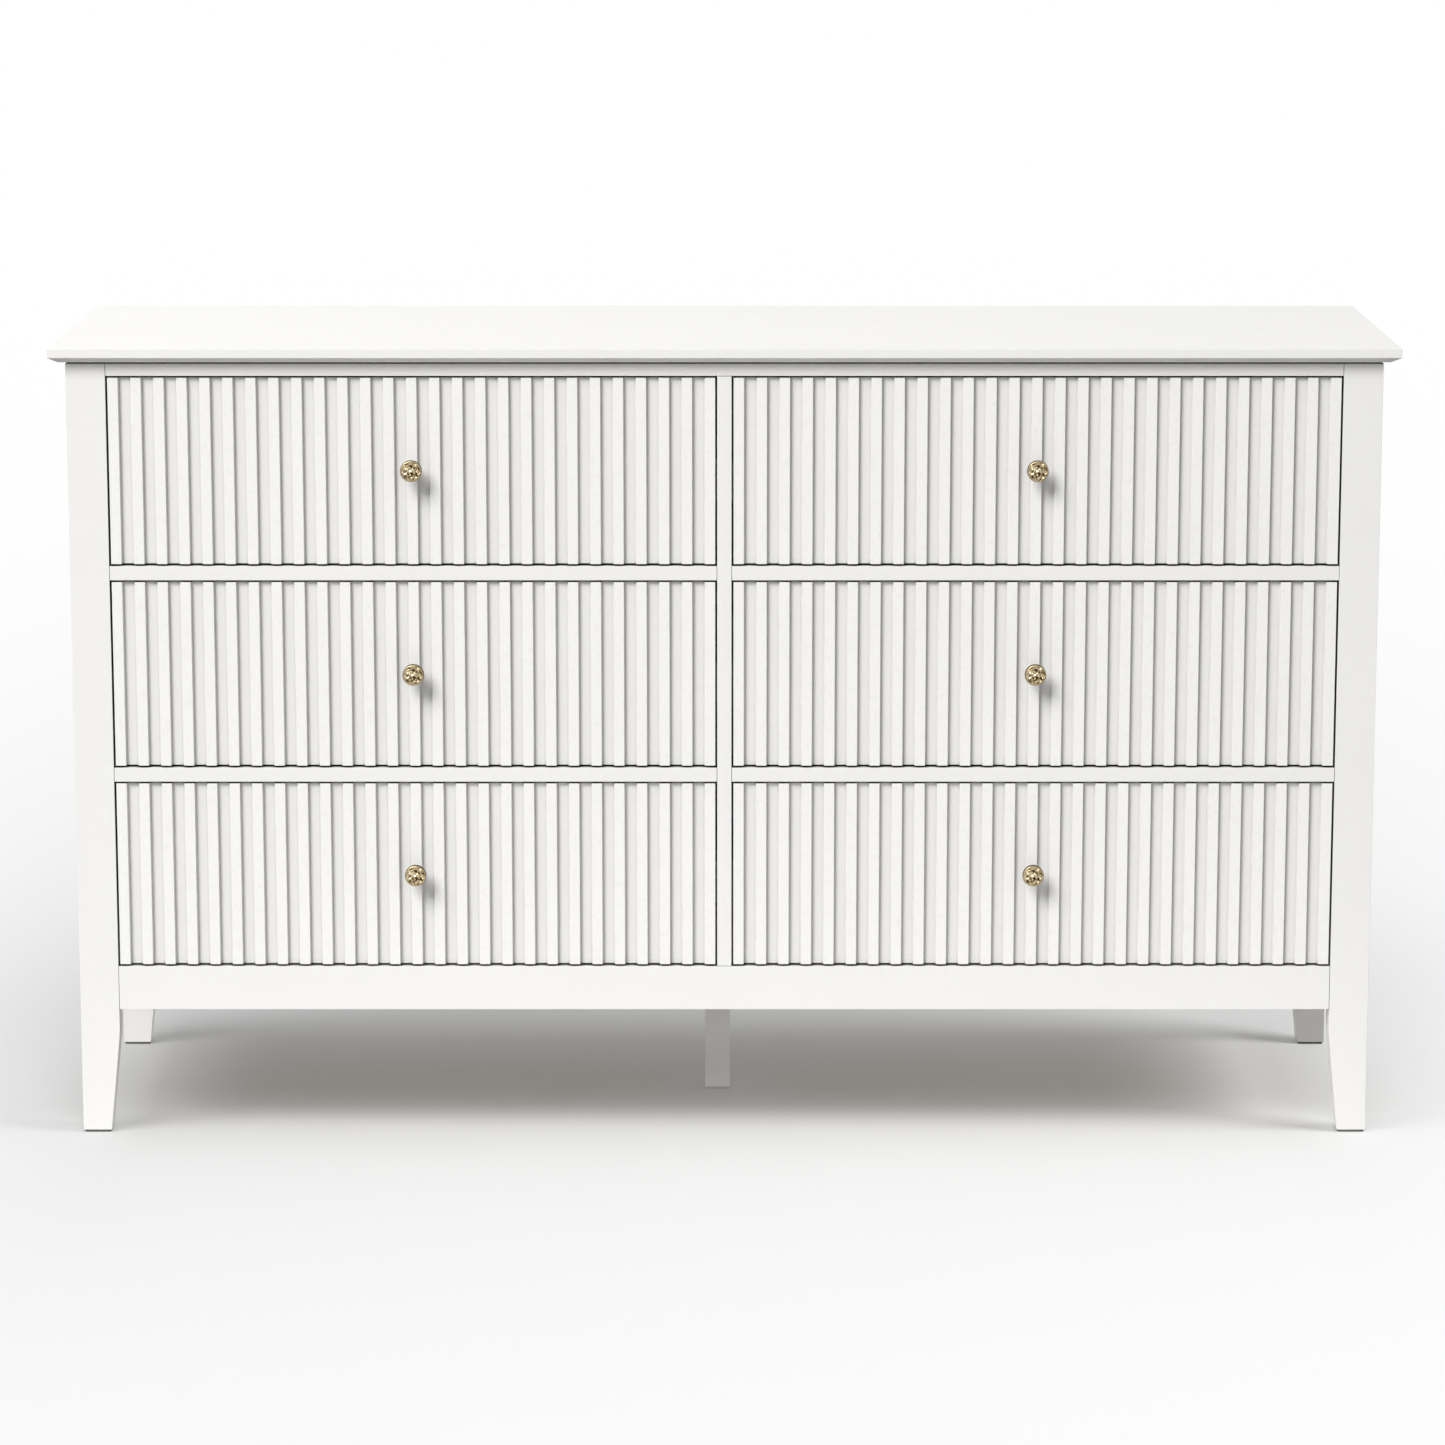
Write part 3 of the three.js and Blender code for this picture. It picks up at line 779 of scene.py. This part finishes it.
def add_drawer_runner(drawer, node, inward):
    """The drawer half of a slide, screwed to the side of the drawer and held in the cabinet half."""
    low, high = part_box(node)
    box_low, box_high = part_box(f"{drawer}_box")
    side = box_low.x if inward > 0 else box_high.x
    web = side - inward * SLIDE_GAUGE
    middle = (low.z + high.z) / 2
    start, end = low.y, high.y - RUNNER_SHORTFALL
    bm = bmesh.new()
    outline = channel_outline(RUNNER_HEIGHT, RUNNER_DEPTH, SLIDE_GAUGE, RUNNER_LIP)
    run_outline(bm, outline, start, end, along_wall(side, -inward, middle), SLIDE_EDGE)
    add_slide_screws(bm, web, -inward, start, end, middle, (0.1, 0.5, 0.9))
    edge = "left" if inward > 0 else "right"
    add_piece(f"{drawer}_{edge}_runner", bm, "steel", drawer)
    add_release_tab(drawer, edge, web, -inward, start + RELEASE_SETBACK, middle)


def add_release_tab(drawer, edge, web, outward, y, z):
    """The nylon lever on a runner, near its front end at y, that releases the drawer."""
    length, height, thickness, clearance = 42 * MM, 9 * MM, 2.4 * MM, 0.2 * MM
    outline = rounded([
        (0, -height / 2, 2 * MM), (length, -height / 5, 1.5 * MM),
        (length, height / 5, 1.5 * MM), (0, height / 2, 2 * MM),
    ])
    bm = bmesh.new()
    place = on_wall(web + outward * clearance, outward, y, z)
    run_outline(bm, outline, 0, thickness, place, 0.4 * MM)
    add_piece(f"{drawer}_{edge}_release", bm, "nylon", drawer)


def add_slides():
    """Both halves of the two slides of each drawer."""
    for drawer in DRAWERS:
        place = drawer.removesuffix("_drawer")
        for wall, inward in (("left", 1), ("right", -1)):
            node = f"{place}_{wall}_slide"
            add_cabinet_slide(node, inward)
            add_drawer_runner(drawer, node, inward)


# ---------------------------------------------------------------------------
# Drawers
# ---------------------------------------------------------------------------


def fluted_outline(half, depth):
    """Plan of a fluted front: v = 0 is its face and v = depth its back."""
    pitch = (2 * half - RIB_WIDTH) / (RIBS - 1)
    face = (RIB_WIDTH - RIB_SLANT) / 2
    root = (RIB_WIDTH + RIB_SLANT) / 2
    corners = [(half, depth, 1 * MM), (-half, depth, 1 * MM), (-half, 0, RIB_ROUND)]
    for i in range(RIBS - 1):
        rib = -half + RIB_WIDTH / 2 + i * pitch
        corners.append((rib + face, 0, RIB_ROUND))
        corners.append((rib + root, FLUTE_DEPTH, FLUTE_ROUND))
        corners.append((rib + pitch - root, FLUTE_DEPTH, FLUTE_ROUND))
        corners.append((rib + pitch - face, 0, RIB_ROUND))
    corners.append((half, 0, RIB_ROUND))
    return rounded(corners)


def add_drawer_front(drawer):
    """The fluted front. Its recess attribute goes from 0 on the ribs to 1 down in the flutes."""
    node = f"{drawer}_front"
    low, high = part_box(node)
    middle = (low.x + high.x) / 2
    bm = bmesh.new()
    outline = fluted_outline((high.x - low.x) / 2, high.y - low.y)
    run_outline(
        bm, outline, low.z, high.z,
        lambda u, v, w: Vector((middle + u, low.y + v, w)), FRONT_EDGE,
    )
    # The paint reads recess to paint shade down in the flutes
    recess = bm.verts.layers.float.new("recess")
    for vert in bm.verts:
        vert[recess] = min((vert.co.y - low.y) / FLUTE_DEPTH, 1.0)
    add_piece(f"{drawer}_fluted_front", bm, "fluted_paint", drawer, (node,))


def board_section(thickness, height, slot_low, slot_high):
    """A box board's end: u = 0 is its outer face; its top is rounded and its inner face is slotted."""
    depth = thickness - GROOVE_DEPTH
    foot, slot = 0.5 * MM, 0.25 * MM
    return rounded([
        (0, 0, foot), (thickness, 0, foot),
        (thickness, slot_low, slot), (depth, slot_low, slot),
        (depth, slot_high, slot), (thickness, slot_high, slot),
        (thickness, height, BOX_EDGE), (0, height, BOX_EDGE),
    ])


def add_drawer_box(drawer):
    """Two sides and a back board between them, each with its grain along its length."""
    node = f"{drawer}_box"
    low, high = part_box(node)
    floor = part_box(f"{drawer}_bottom")
    slot = (floor[0].z - GROOVE_SPARE - low.z, floor[1].z + GROOVE_SPARE - low.z)
    section = board_section(BOX_BOARD, high.z - low.z, *slot)
    for edge, outer, inward in (("left", low.x, 1), ("right", high.x, -1)):
        bm = bmesh.new()
        run_outline(bm, section, low.y, high.y, along_wall(outer, inward, low.z), 0.4 * MM)
        add_piece(f"{drawer}_{edge}_side", bm, "birch_y", drawer, (node,))
    bm = bmesh.new()
    run_outline(
        bm, section, low.x + BOX_BOARD, high.x - BOX_BOARD,
        lambda u, v, w: Vector((w, high.y - u, low.z + v)), 0.2 * MM,
    )
    add_piece(f"{drawer}_back", bm, "birch_x", drawer, (node,))
    show_node(f"{drawer}_bottom", "plywood", THIN_EDGE)


def add_cam_locks(drawer):
    """Round zinc cams, flush in the inner faces of the sides, that pull the front tight."""
    low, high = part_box(f"{drawer}_box")
    bm = bmesh.new()
    for face, inward in ((low.x + BOX_BOARD, 1), (high.x - BOX_BOARD, -1)):
        for share in (0.3, 0.78):
            z = low.z + (high.z - low.z) * share
            screw_head(bm, on_wall(face, inward, low.y + CAM_SETBACK, z), *CAM_LOCK)
    add_piece(f"{drawer}_cam_locks", bm, "steel", drawer)


# ---------------------------------------------------------------------------
# Knobs
# ---------------------------------------------------------------------------


def smooth(value):
    """0 to 1 with an easy start and end, and held outside."""
    value = min(max(value, 0.0), 1.0)
    return value * value * (3 - 2 * value)


def hammering(u, v):
    """The relief of the knob's face at a point, and how dark its patina is there, both 0 to 1."""
    # The lumps are the cells of a warped Voronoi pattern, each with a level and a tilt of its own.
    spot = Vector((u / LUMP, v / LUMP, 4.7))
    distances, centres = noise.voronoi(spot + noise.noise_vector(spot * 1.4) * 0.4)
    crease = 1 - smooth((distances[1] - distances[0]) / 0.45)
    level = 0.5 + 0.5 * noise.cell(centres[0] * 7.3)
    tilt = noise.noise_vector(centres[0] * 5.3) * 1.6
    relief = level * (1 - distances[0] ** 2) + (spot - centres[0]).dot(tilt) * 0.35
    relief = relief * (1 - 0.55 * crease) + noise.noise(spot * 4.1) * 0.16
    # The patina lies in the creases and the low places, in some parts of the face more than others.
    cloud = 0.5 + 0.9 * noise.noise(spot * 0.8 + Vector((3, 1, 8)))
    patina = 0.75 * crease * cloud + 0.9 * smooth(0.75 - relief) * cloud
    return min(max(relief, 0.0), 1.0), min(max(patina, 0.0), 1.0)


def knob_profile(radius, length):
    """(radius, height) from the foot to the rim of the face, from shares of the knob's own."""
    foot = [(0.5, 0.0), (0.52, 0.02), (0.52, 0.05), (0.49, 0.07)]
    stem, underside, roll = [], [], []
    for step in range(1, 13):
        t = step / 12
        waist = 0.17 * math.sin(math.pi * min(t * 1.25, 1) / 2)
        stem.append((0.49 - waist + 0.1 * t ** 4, 0.07 + 0.55 * t))
    for step in range(1, 9):
        angle = math.pi / 2 * step / 8
        underside.append((0.42 + 0.57 * math.sin(angle), 0.62 + 0.11 * (1 - math.cos(angle))))
    for step in range(7):
        angle = math.pi / 2 * step / 6
        roll.append((0.9 + 0.1 * math.cos(angle), 0.86 + 0.1 * math.sin(angle)))
    return [(r * radius, h * length) for r, h in foot + stem + underside + roll]


def knob_face(u, v, rim, rim_height, top):
    """The height and the patina of the hammered face at a point within the rim."""
    share = math.hypot(u, v) / rim
    relief, stain = hammering(u, v)
    lift = smooth((1 - share) / RIM_BLEND)
    crown = rim_height + (top - rim_height) * (1 - FACE_DOME * share ** 2)
    height = rim_height + (crown - LUMP_DEPTH * (1 - relief) - rim_height) * lift
    return height, stain * lift + 0.5 * (1 - lift)


def add_knob(drawer):
    """A cast brass knob: waisted stem, rolled rim and a hammered face inside it."""
    low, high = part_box(f"{drawer}_knob")
    radius, length = (high.x - low.x) / 2, high.y - low.y
    middle = (low + high) / 2
    profile = knob_profile(radius, length)
    rim, rim_height = profile[-1]
    bm = bmesh.new()
    patina = bm.verts.layers.float.new("patina")

    def vert(u, v, height, stain):
        point = bm.verts.new((middle.x + u, high.y - height, middle.z + v))
        point[patina] = stain
        return point

    def turned(points, stain):
        return [[vert(u, v, h, stain) for u, v in spots_round(r, KNOB_SPOKES)] for r, h in points]

    # The stem and rim rings carry a patina that partly paints their shade
    rings = turned(profile[:-ROLL_RINGS], STEM_PATINA_AND_SHADE) + turned(profile[-ROLL_RINGS:], ROLL_PATINA_AND_SHADE)
    for step in range(1, KNOB_FACE_RINGS):
        spots = spots_round(rim * (1 - step / KNOB_FACE_RINGS), KNOB_SPOKES)
        rings.append([vert(u, v, *knob_face(u, v, rim, rim_height, length)) for u, v in spots])
    join_rings(bm, rings)
    bm.faces.new(rings[0][::-1])
    fan(bm, rings[-1], vert(0, 0, *knob_face(0, 0, rim, rim_height, length)))
    piece = make_object(f"{drawer}_hammered_knob", bm)
    piece.data.materials.append(MATERIALS["brass"])
    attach(piece, drawer)
    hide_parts(f"{drawer}_knob")


def add_knob_screw(drawer):
    """The machine screw that holds the knob, with its washer, on the inside of the front."""
    low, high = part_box(f"{drawer}_knob")
    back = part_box(f"{drawer}_front")[1].y
    x, z = (low.x + high.x) / 2, (low.z + high.z) / 2
    bm = bmesh.new()
    thick = WASHER_THICKNESS
    washer = [(0, 0), (6 * MM, 0), (6.2 * MM, 0.3 * MM), (6 * MM, thick), (0, thick)]
    turn_profile(bm, washer, on_back(x, back, z), 32)
    screw_head(bm, on_back(x, back + thick, z), *KNOB_SCREW)
    add_piece(f"{drawer}_knob_screw", bm, "steel", drawer)


# ---------------------------------------------------------------------------
# Assembly
# ---------------------------------------------------------------------------


noise.seed_set(LUMP_SEED)
MATERIALS = make_materials()
add_camera()
light_studio(add_floor())
show_carcass()
add_back_nails()
add_slides()
for drawer in DRAWERS:
    add_drawer_front(drawer)
    add_drawer_box(drawer)
    add_cam_locks(drawer)
    add_knob(drawer)
    add_knob_screw(drawer)
